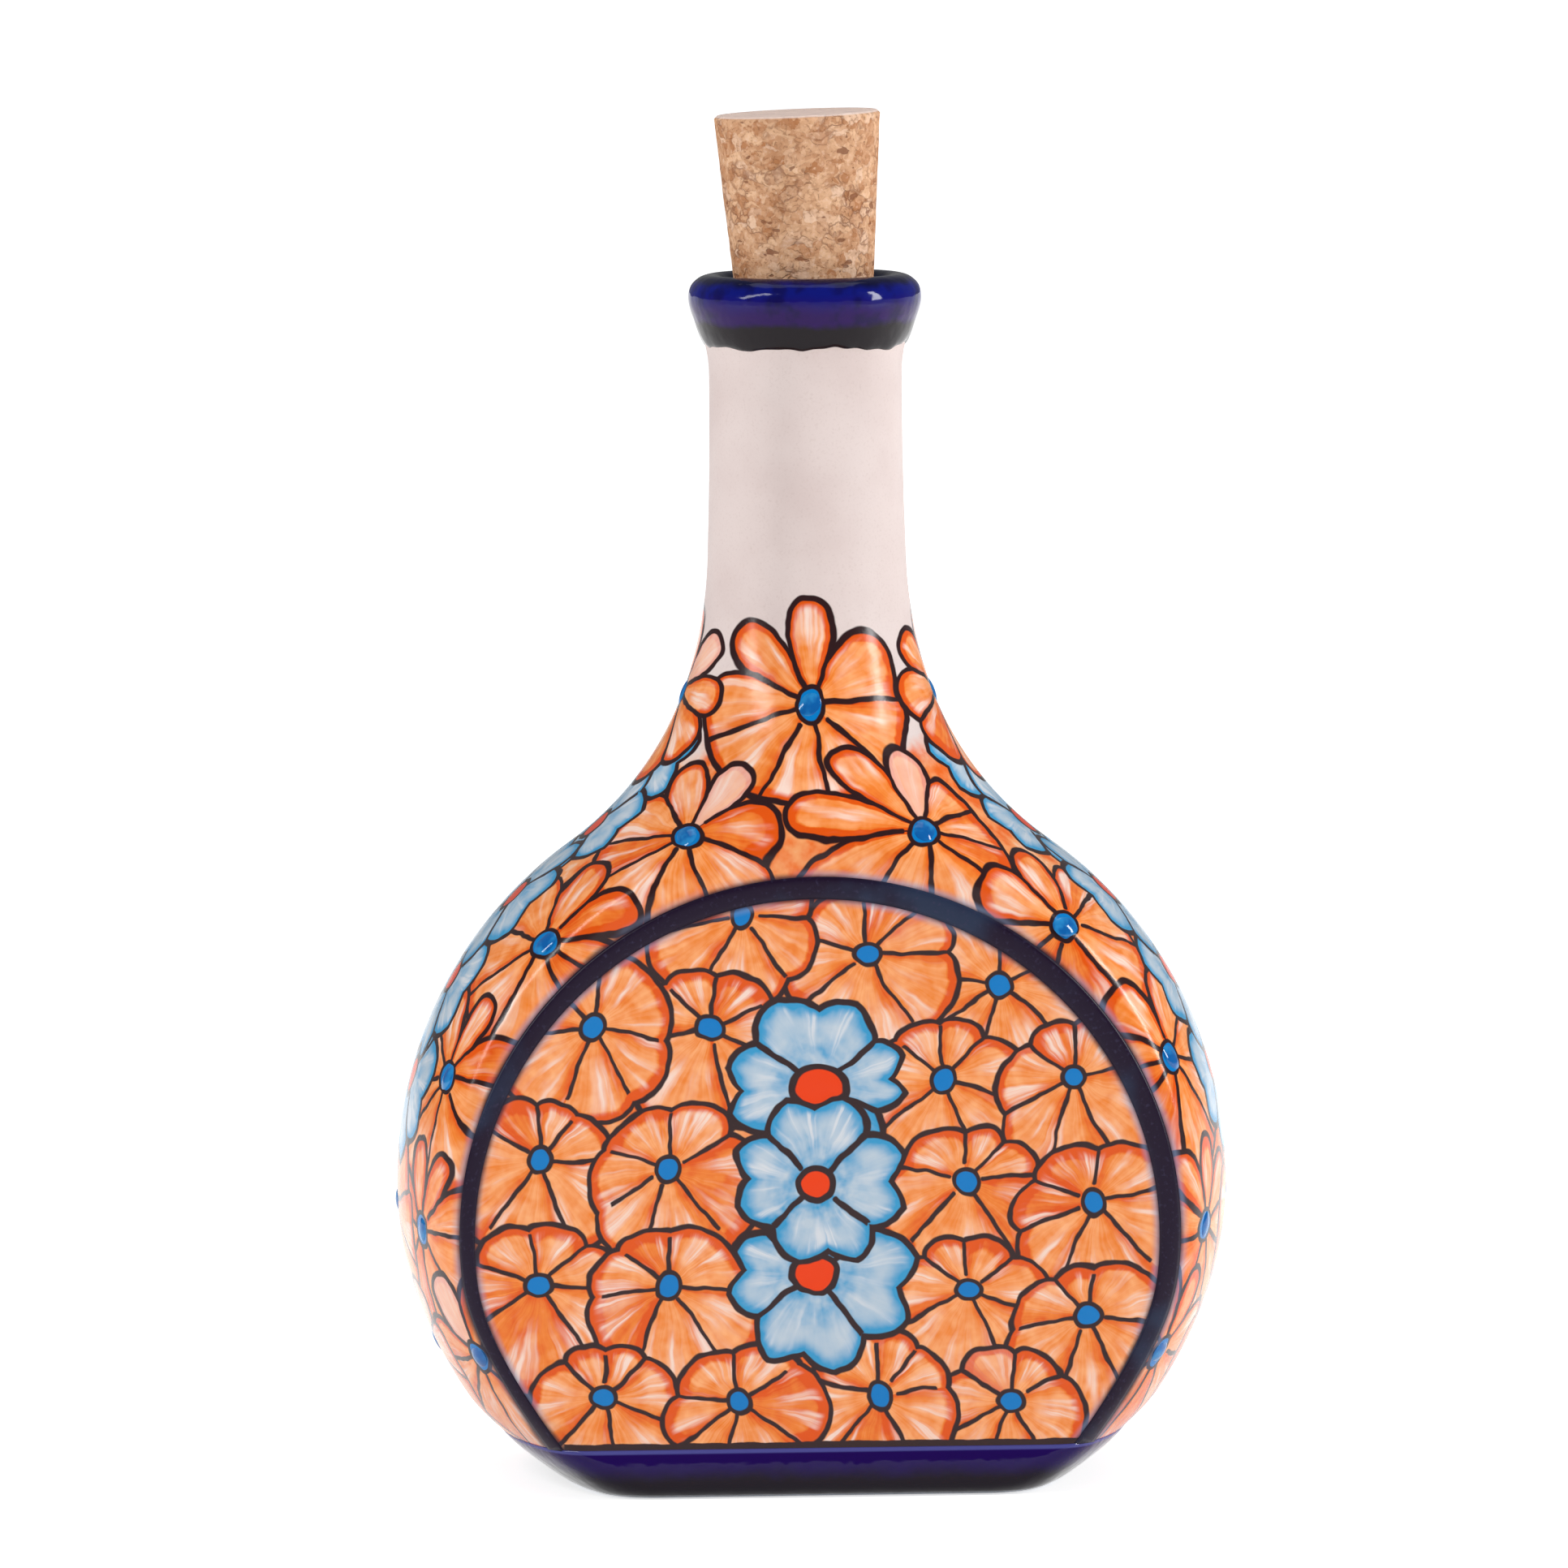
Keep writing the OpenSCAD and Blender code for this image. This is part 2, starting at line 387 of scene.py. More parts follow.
def face_stripe(name, half_turn):
    """A ring inset from a disc, laid on the front face or turned round to the back and cut off behind the foot band"""
    deselect()
    bpy.ops.mesh.primitive_circle_add(
        vertices=STRIPE_POINTS, radius=ARCH_R * MM, fill_type="NGON",
        location=(0, 0, ARCH_Z * MM), rotation=(math.pi / 2, 0, 0))
    piece = named(name)
    bpy.ops.object.transform_apply(location=True, rotation=True, scale=True)
    with editing("FACE"):
        for row in range(STRIPE_ROWS):
            bpy.ops.mesh.inset(thickness=ARCH_W / STRIPE_ROWS * MM, depth=0)
        bpy.ops.mesh.delete(type="FACE")
    spots = places(piece)
    from_centre = np.hypot(spots[:, 0], spots[:, 2] - ARCH_Z)
    across = (ARCH_R - from_centre) / ARCH_W
    width = STRIPE_W + (STRIPE_SWELL * spots[:, 0] + STRIPE_RISE * (spots[:, 2] - ARCH_Z)) / from_centre
    shrink = (ARCH_R - width * across) / from_centre
    spots[:, 0] *= shrink
    spots[:, 2] = ARCH_Z + (spots[:, 2] - ARCH_Z) * shrink
    spots[:, 0] *= pinched(spots[:, 2])
    coat = STRIPE_EDGE + STRIPE_CROWN * (1 - np.abs(across * 2 - 1) ** STRIPE_CURVE)
    reach = np.sqrt(np.clip(wall_radius(spots[:, 2]) ** 2 - spots[:, 0] ** 2, 0, None))
    spots[:, 1] = -soft_min(reach, face_depth(spots[:, 2]), FACE_BLEND) - coat
    put(piece, spots)
    with editing("FACE"):
        bpy.ops.mesh.bisect(plane_co=(0, 0, (FOOT_BAND_TOP - STRIPE_LAP) * MM), plane_no=(0, 0, 1), clear_inner=True)
    thick = piece.modifiers.new("coat", "SOLIDIFY")
    thick.thickness = STRIPE_T * MM
    thick.offset = -1
    bpy.ops.object.modifier_apply(modifier=thick.name)
    with editing("FACE"):
        bpy.ops.mesh.normals_make_consistent(inside=False)
    bpy.ops.object.shade_smooth()
    if half_turn:
        put(piece, places(piece) * (-1, -1, 1))
    return piece


front_stripe = face_stripe("front_stripe", False)
back_stripe = face_stripe("back_stripe", True)

# The cork, with its grain and pits only above the mouth
CORK_END_STEP, CORK_BEVEL_STEP, CORK_SIDE_STEP = 1.0, 0.3, 0.6
CORK_STEPS = 160
GRAIN_PACE, GRAIN_DEPTH = 0.55, 0.07
PIT_PACE = (0.55, 0.55, 1.0)
PIT_SHIFT = Vector((31, 7, 3))
PIT_FROM, PIT_DEPTH = 0.42, 1.6
# Height over which the grain sets in, and a length below which there is no direction
GRAIN_START = 1.5
TINY = 1e-6
cork_marks = (
    (0, -CORK_INSIDE), (CORK_END_R - CORK_BEVEL, -CORK_INSIDE), (CORK_END_R, -CORK_INSIDE + CORK_BEVEL),
    (CORK_TOP_R, CORK_TOP - CORK_BEVEL), (CORK_TOP_R - CORK_BEVEL, CORK_TOP), (0, CORK_TOP))
cork_runs = (CORK_END_STEP, CORK_BEVEL_STEP, CORK_SIDE_STEP, CORK_BEVEL_STEP, CORK_END_STEP)
cork_outline = joined(*(line(*ends) for ends in zip(cork_marks, cork_marks[1:], cork_runs)))
cork = turned("cork", cork_outline, CORK_STEPS)
spots = places(cork)
out = spots * (1, 1, 0)
out /= np.maximum(np.linalg.norm(out, axis=1), TINY)[:, None]
exposed = np.clip((spots[:, 2] - LIP_BEAD_R) / GRAIN_START, 0, 1)
for i, spot in enumerate(spots):
    grain = noise.noise(Vector(spot) * GRAIN_PACE) * GRAIN_DEPTH
    pit = max(0.0, noise.noise(Vector(spot * PIT_PACE) + PIT_SHIFT) - PIT_FROM) * PIT_DEPTH
    spots[i] += out[i] * exposed[i] * (grain - pit)
lean = np.array(Matrix.Rotation(-CORK_LEAN, 3, "Y"))
put(cork, spots @ lean.T + (0, 0, LIP_Z))


# Where the painted flowers sit
def surface(turn, z):
    """Points of the flask's outside at turns from the front and heights, in millimetres"""
    turn, z = np.broadcast_arrays(np.asarray(turn, float), np.asarray(z, float))
    radius = wall_radius(z)
    forward = radius * np.cos(turn)
    depth = soft_min(np.abs(forward), face_depth(z), FACE_BLEND)
    return np.stack([radius * np.sin(turn), -np.sign(forward) * depth, z], -1)


# Small steps round and up the outside, by which its directions are found
STEP_ROUND, STEP_UP = 0.01, 0.5


def surface_frame(turn, z):
    """A point of the outside with the directions right, up and out there"""
    spot = surface(turn, z)
    along = surface(turn + STEP_ROUND, z) - surface(turn - STEP_ROUND, z)
    rise = surface(turn, z + STEP_UP) - surface(turn, z - STEP_UP)
    out = np.cross(along, rise)
    out /= np.linalg.norm(out)
    up = np.array([0, 0, 1]) - out[2] * out
    up /= np.linalg.norm(up)
    return spot, np.cross(up, out), up, out


# The flat face inside the stripe, and the rest of the outside
PANEL = "panel"
RING = "ring"
# How deep each kind of flower is cut in between its petals, and how deep the tips of the blue petals dip in
PANEL_CUT, BLUE_CUT, RING_CUT = 0.11, 0.24, 0.42
TIP_DIP = 0.19
PANEL_PETALS, BLUE_PETALS, RING_PETALS = 6, 4, 8
# How far the face's flowers sit below their marks
PANEL_DROP = 1.5
# What is added to a flower's reach at its sides and below, where the next flower lies over it
PANEL_SIDE, PANEL_BELOW = 1, 4
RING_SIDE, RING_BELOW = 1.5, 3
BLUE_GROW = 1.05
# Each flower's seed for its wander is this far from the last one's
SEED_STEP = 1.37
flowers = []


def flower(zone, turn, z, reach, petals, notch, lean=0, blue=0, heart=1, lift=0, spread=1):
    """Adds one flower over those painted before it, with its reach to the left, right, top and bottom"""
    spot, right, up, out = surface_frame(math.radians(turn), z)
    tip = math.radians(lean)
    radius = sum(reach) / 4
    bias = ((reach[1] - reach[0]) / (2 * radius), (reach[2] - reach[3]) / (2 * radius), spread)
    flowers.append({
        "zone": zone, "spot": spot, "out": out, "radius": radius,
        "right": right * math.cos(tip) - up * math.sin(tip), "up": up * math.cos(tip) + right * math.sin(tip),
        "form": (petals, notch, 1 + SEED_STEP * len(flowers)), "style": (blue, heart, lift), "bias": bias})


def panel_flower(half, x, z, lean, reach):
    """An orange flower of the flat face, by its distance from the middle"""
    turn = math.degrees(math.asin(x / float(wall_radius(z))))
    left, right, up, down = reach
    reach = left + PANEL_SIDE, right + PANEL_SIDE, up, down + PANEL_BELOW
    flower(PANEL, half + turn, z - PANEL_DROP, reach, PANEL_PETALS, PANEL_CUT, lean)


def blue_flower(half, zone, turn, z, reach, heart=1.0, spread=1.0):
    """A blue flower with a red heart"""
    reach = [BLUE_GROW * length for length in reach]
    flower(zone, half + turn, z, reach, BLUE_PETALS, BLUE_CUT, blue=1, heart=heart, spread=spread)


def ring_flower(half, turn, z, lean, reach, petals=RING_PETALS, lift=1, spread=1.0):
    """An orange flower outside the stripe, with long petals"""
    left, right, up, down = reach
    reach = left + RING_SIDE, right + RING_SIDE, up, down + RING_BELOW
    flower(RING, half + turn, z, reach, petals, RING_CUT, lean, lift=lift, spread=spread)


for half in (0, 180):
    # The face's own flowers, from the top row down
    for x, z, lean, reach in (
        (26.9, 79.9, 0, (13, 13, 13, 13)), (7.2, 84.8, -4, (11, 11.8, 12, 13)),
        (-11.3, 90.8, 10, (14, 10.9, 12, 11)), (-16.6, 73.9, 8, (11, 12, 9.5, 13)),
        (-33.8, 74.3, 6, (14, 10.6, 13, 11.5)), (18.7, 65.7, -6, (12, 12, 9, 13)),
        (38.2, 65.4, 4, (9.7, 14, 10, 13)), (-42.5, 54, -2, (13, 11, 9.8, 13)),
        (-23.2, 52.4, 4, (9.8, 13, 11, 13)), (22.3, 49.9, -3, (12, 11, 8.8, 13)),
        (41.6, 46.3, 5, (10.4, 13, 10.6, 13)), (-43.3, 34.8, -8, (13, 11.5, 9.7, 13)),
        (-23.4, 34.6, 3, (10.4, 12, 9.6, 13)), (22.7, 33.2, -5, (12, 11, 8.6, 13)),
        (41.2, 29.1, 8, (10, 13, 8.9, 15)), (-33.8, 17.2, 4, (10.3, 11, 8.9, 11)),
        (29.2, 16.2, 6, (11, 10.8, 8.4, 11)), (8.9, 17.3, -2, (11, 10.2, 10.5, 11)),
        (-13, 16.4, -6, (10.4, 12.3, 9.2, 11)),
    ):
        panel_flower(half, x, z, lean, reach)
    blue_flower(half, PANEL, 0, 63.3, (14.8, 13.4, 13.4, 12), 1.2, 1.28)
    blue_flower(half, PANEL, -1, 34.5, (13.7, 16.4, 12, 13.8), 1.1)
    blue_flower(half, PANEL, -0.7, 48.3, (12.9, 14.2, 12.8, 11.6), 0.8)
    # The collar under the neck, then the ring from the top down
    ring_flower(half, -1.7, 120.6, 0, (12.5, 11, 19.6, 17), spread=0.88)
    ring_flower(half, 30.8, 101.9, -42, (22, 11.5, 18.5, 13), petals=9)
    for turn, z, lean, reach in (
        (-37.5, 101.4, 21, (13, 13, 15.8, 15)), (-56, 85.4, 48, (14, 14, 17, 16)),
        (-67.6, 64.6, 20, (14, 14, 15.5, 17)), (-71.5, 40.8, -5, (14, 14, 15, 17)),
        (-63, 21.9, -30, (14, 14, 15, 16)), (50.7, 87.1, -50, (14, 14, 16, 16)),
        (63.1, 66.7, -30, (14, 14, 15.5, 17)), (68.1, 40.5, 5, (14, 14, 14.5, 17)),
        (63, 21.3, 25, (14, 14, 15, 16)),
    ):
        ring_flower(half, turn, z, lean, reach)
    # The columns on the two sides, each turned towards its own end of the front view
    ring_flower(half, 90, 43, 0, (14, 14, 15, 16))
    ring_flower(half, 90, 21, 0, (15, 15, 15, 15))
    for z in (63, 112, 78, 101, 90.5):
        blue_flower(half, RING, 94 if half else 84, z, (15, 15, 12, 12))
    ring_flower(half, 90, 121, 0, (12, 12, 15, 14), lift=0.6)

# The most flowers kept on one face, and the place written where there is none
LAYERS = 4
NOWHERE = 1000.0
# How far an inked edge may wander, in millimetres and as shares of the reach
HALO = 1.4
WIDEST, NARROWEST, DEEPEST_CUT = 1.06, 0.94, 1.45
# The most that a flower is stretched over a bend, and the slant below which its petals join
MOST_STRETCH = 1.6
JOIN_SLANT = 0.7


def face_corners(mesh):
    """The vertex at each face corner, and each face's first corner and count of corners"""
    vertex = np.empty(len(mesh.loops), int)
    first = np.empty(len(mesh.polygons), int)
    count = np.empty(len(mesh.polygons), int)
    mesh.loops.foreach_get("vertex_index", vertex)
    mesh.polygons.foreach_get("loop_start", first)
    mesh.polygons.foreach_get("loop_total", count)
    return vertex, first, count


def paint_flowers(piece):
    """Writes on each face the flowers that show there, from the top one down"""
    mesh = piece.data
    spots = places(piece)
    corner_vertex, first, count = face_corners(mesh)
    corner_face = np.repeat(np.arange(len(first)), count)
    normals = np.empty(len(first) * 3)
    centres = np.empty(len(first) * 3)
    mesh.polygons.foreach_get("normal", normals)
    mesh.polygons.foreach_get("center", centres)
    normals = normals.reshape(-1, 3)
    centres = centres.reshape(-1, 3) / MM
    on_outside = ~np.logical_or.reduceat(is_inside[corner_vertex], first)
    from_arch = np.hypot(centres[:, 0] / pinched(centres[:, 2]), centres[:, 2] - ARCH_Z)
    on_panel = (from_arch < ARCH_R - ARCH_W / 2) & (np.abs(centres[:, 1]) > FACE_FROM)

    place = np.full((LAYERS, len(corner_vertex), 3), (NOWHERE, 0, 1), np.float32)
    form = np.full((LAYERS, len(first), 3), (PANEL_PETALS, PANEL_CUT, 0), np.float32)
    style = np.zeros((LAYERS, len(first), 3), np.float32)
    bias = np.zeros((LAYERS, len(first), 3), np.float32)
    filled = np.zeros(len(first), int)
    closed = ~on_outside
    for one in reversed(flowers):
        away = spots - one["spot"]
        u, v = away @ one["right"], away @ one["up"]
        flat = np.maximum(np.hypot(u, v), TINY)
        grow = np.minimum(np.linalg.norm(away, axis=1) / flat, MOST_STRETCH)
        side, rise = u / flat, v / flat
        u, v = u * grow, v * grow
        notch = one["form"][1]
        blue, lift = one["style"][0], one["style"][2]
        reach = one["radius"] * (1 + one["bias"][0] * side + one["bias"][1] * rise)
        cut = notch * DEEPEST_CUT * (1 - lift * np.clip(1 - rise / JOIN_SLANT, 0, 1))
        beyond = np.hypot(u, v) - reach * WIDEST - HALO
        hidden = np.hypot(u, v) - reach * (NARROWEST - cut - blue * TIP_DIP) + HALO
        zone = on_panel if one["zone"] == PANEL else ~on_panel
        touched = np.minimum.reduceat(beyond[corner_vertex], first) < 0
        shows = zone & ~closed & (filled < LAYERS) & touched & (normals @ one["out"] > 0)
        faces = np.nonzero(shows)[0]
        layer = filled[faces]
        form[layer, faces] = one["form"]
        style[layer, faces] = one["style"]
        bias[layer, faces] = one["bias"]
        corners = np.nonzero(shows[corner_face])[0]
        corner_layer = filled[corner_face[corners]]
        vertex = corner_vertex[corners]
        place[corner_layer, corners] = np.stack([u[vertex], v[vertex], np.full(len(vertex), one["radius"])], 1)
        filled[faces] += 1
        closed |= shows & (np.maximum.reduceat(hidden[corner_vertex], first) < 0)
    for layer in range(LAYERS):
        for name, domain, data in (
            ("place", "CORNER", place), ("form", "FACE", form), ("style", "FACE", style), ("bias", "FACE", bias),
        ):
            written = mesh.attributes.new(f"flower_{name}_{layer}", "FLOAT_VECTOR", domain)
            written.data.foreach_set("vector", data[layer].ravel())


paint_flowers(flask)

# The flask's map for baking: the strip at its top that the inside takes up, and how much of that strip is used
BAKE_MAP = "OFBake"
INSIDE_ROOM = 0.08
INSIDE_USED = 0.95
ISLAND_BEND = 1.15
ISLAND_GAP = 0.003


def lay_out(piece):
    """Makes the map for baking, with nearly all of its room for the painted outside"""
    mesh = piece.data
    mesh.uv_layers.active = mesh.uv_layers.new(name=BAKE_MAP)
    corner_vertex, first, count = face_corners(mesh)
    inner = np.logical_and.reduceat(is_inside[corner_vertex], first)
    for wanted in (inner, ~inner):
        pick(piece)
        with editing("FACE"):
            bpy.ops.mesh.select_all(action="DESELECT")
        mesh.polygons.foreach_set("select", wanted)
        bpy.ops.object.mode_set(mode="EDIT")
        bpy.ops.uv.smart_project(angle_limit=ISLAND_BEND, island_margin=ISLAND_GAP, scale_to_bounds=True)
        bpy.ops.object.mode_set(mode="OBJECT")
    spread = np.empty(len(corner_vertex) * 2, np.float32)
    mesh.uv_layers[BAKE_MAP].uv.foreach_get("vector", spread)
    spread = spread.reshape(-1, 2)
    high = 1 - INSIDE_ROOM * INSIDE_USED * (1 - spread[:, 1])
    spread[:, 1] = np.where(np.repeat(inner, count), high, spread[:, 1] * (1 - INSIDE_ROOM))
    mesh.uv_layers[BAKE_MAP].uv.foreach_set("vector", spread.ravel())


lay_out(flask)


# The dots of thick glaze in the hearts of the orange flowers outside the stripe: caps cut from a ball at a level
DOT_SEGMENTS, DOT_RINGS = 32, 48
DOT_LEVEL = 0.6
DOT_WIDE, DOT_TALL, DOT_HIGH = 1.75, 2.0, 0.45
DOT_SUNK = 0.1
DOT_WOBBLE = 0.12
# A flower gets a dot only if its middle is this clear of the flowers painted over it
DOT_CLEAR = 2


def reach_towards(one, spot):
    """How far a flower goes towards a spot, and how far off that spot is"""
    away = spot - one["spot"]
    far = max(np.linalg.norm(away), TINY)
    side, rise = away @ one["right"] / far, away @ one["up"] / far
    return one["radius"] * (1 + one["bias"][0] * side + one["bias"][1] * rise), far


deselect()
bpy.ops.mesh.primitive_uv_sphere_add(segments=DOT_SEGMENTS, ring_count=DOT_RINGS, radius=1, location=(0, 0, 0))
dot = named("dot")
with editing("FACE"):
    bpy.ops.mesh.bisect(plane_co=(0, 0, DOT_LEVEL), plane_no=(0, 0, 1), use_fill=True, clear_inner=True)
bpy.ops.object.shade_smooth()
cap_r = math.sqrt(1 - DOT_LEVEL ** 2)
dome = (places(dot) * MM - (0, 0, DOT_LEVEL)) / (cap_r, cap_r, 1 - DOT_LEVEL)
dots = []
for i, one in enumerate(flowers):
    covers = [reach_towards(other, one["spot"]) for other in flowers[i + 1:] if other["zone"] == RING]
    is_blue = one["style"][0]
    if one["zone"] == PANEL or is_blue or any(far < reach + DOT_CLEAR for reach, far in covers):
        continue
    pick(dot)
    bpy.ops.object.duplicate()
    blob = bpy.context.object
    wobble = 1 + DOT_WOBBLE * np.sin(2 * np.arctan2(dome[:, 1], dome[:, 0]) + one["form"][2])
    across = (dome[:, :1] * one["right"] * DOT_WIDE + dome[:, 1:2] * one["up"] * DOT_TALL) * wobble[:, None]
    put(blob, one["spot"] + across + (dome[:, 2:] * DOT_HIGH - DOT_SUNK) * one["out"])
    dots.append(blob)
bpy.data.objects.remove(dot)
deselect()
for blob in dots:
    blob.select_set(True)
bpy.context.view_layer.objects.active = dots[0]
bpy.ops.object.join()
glaze_dots = named("glaze_dots")


# Finishes
def tint(hex_code):
    """A colour in the scene's own numbers from the usual six-digit code"""
    parts = [int(hex_code[i:i + 2], 16) / 255 for i in (1, 3, 5)]
    return [p / 12.92 if p <= 0.04045 else ((p + 0.055) / 1.055) ** 2.4 for p in parts] + [1]


def feed(value, socket):
    """Sets a socket to a number or a colour's code, or links a wire to it"""
    if isinstance(value, Wire):
        value.tree.links.new(value.socket, socket)
    else:
        socket.default_value = tint(value) if isinstance(value, str) else value


def add_node(tree, kind, fed, **settings):
    """A new node with its settings made and its sockets fed, each by its number or name"""
    node = tree.nodes.new("ShaderNode" + kind)
    for name, setting in settings.items():
        setattr(node, name, setting)
    for socket, value in fed.items():
        feed(value, node.inputs[socket])
    return node


def sum_of(operation, turned_round=False):
    """A sum of a wire and other values, in the order in which they are written"""
    def work(self, *others):
        order = (*others, self) if turned_round else (self, *others)
        return Wire(add_node(self.tree, "Math", dict(enumerate(order)), operation=operation).outputs[0])
    return work


class Wire:
    """A value in a node tree; sums with it add the nodes that work them out"""

    def __init__(self, socket):
        self.socket = socket
        self.tree = socket.id_data

    __add__, __radd__ = sum_of("ADD"), sum_of("ADD", turned_round=True)
    __sub__, __rsub__ = sum_of("SUBTRACT"), sum_of("SUBTRACT", turned_round=True)
    __mul__, __truediv__, __pow__ = sum_of("MULTIPLY"), sum_of("DIVIDE"), sum_of("POWER")
    __abs__, floor, root = sum_of("ABSOLUTE"), sum_of("FLOOR"), sum_of("SQRT")
    most, over, under = sum_of("MAXIMUM"), sum_of("GREATER_THAN"), sum_of("LESS_THAN")
    sine, cosine, bearing = sum_of("SINE"), sum_of("COSINE"), sum_of("ARCTAN2")
    wrap = sum_of("FLOORED_MODULO")

    def rise(self, low, high):
        """0 below low, 1 above high and a soft step between them"""
        fed = {"Value": self, "From Min": low, "From Max": high}
        return Wire(add_node(self.tree, "MapRange", fed, interpolation_type="SMOOTHSTEP").outputs["Result"])

    def fall(self, low, high):
        """1 below low, 0 above high and a soft step between them"""
        return 1 - self.rise(low, high)


def parts(vector):
    """The three values of a vector"""
    return [Wire(out) for out in add_node(vector.tree, "SeparateXYZ", {0: vector}).outputs]


def gather(x, y, z):
    """A vector from three values"""
    return Wire(add_node(x.tree, "CombineXYZ", {0: x, 1: y, 2: z}).outputs[0])


def scaled(vector, scale, start=(0, 0, 0)):
    """A vector times three numbers, added to a start"""
    fed = {0: vector, 1: scale, 2: start}
    return Wire(add_node(vector.tree, "VectorMath", fed, operation="MULTIPLY_ADD").outputs[0])


def cloud(vector, scale, detail=2.0):
    """Soft noise: one value and three values"""
    node = add_node(vector.tree, "TexNoise", {"Vector": vector, "Scale": scale, "Detail": detail})
    return Wire(node.outputs["Fac"]), Wire(node.outputs["Color"])


def chance(value):
    """A chance value that is always the same for the same value"""
    return Wire(add_node(value.tree, "TexWhiteNoise", {"W": value}, noise_dimensions="1D").outputs["Value"])


def blended(share, below, above):
    """One colour over another, by a share"""
    fed = {"Factor": share, 6: below, 7: above}
    return Wire(add_node(share.tree, "Mix", fed, data_type="RGBA").outputs[2])


INK = "#2E191B"
NAVY = "#1C0E26"
# Half the width over which an inked edge fades out
SOFT_LINE, SOFT_STROKE = 0.12, 0.1
# How unevenly a flower's petals are spread, once and twice round
ONCE, TWICE = 0.24, 0.16
# How sharply the edge bends in between two petals
EDGE_CURVE = 2.8
# The vectors that make up a flower, as they are written on the mesh
FLOWER_VALUES = ("Place", "Form", "Style", "Bias")


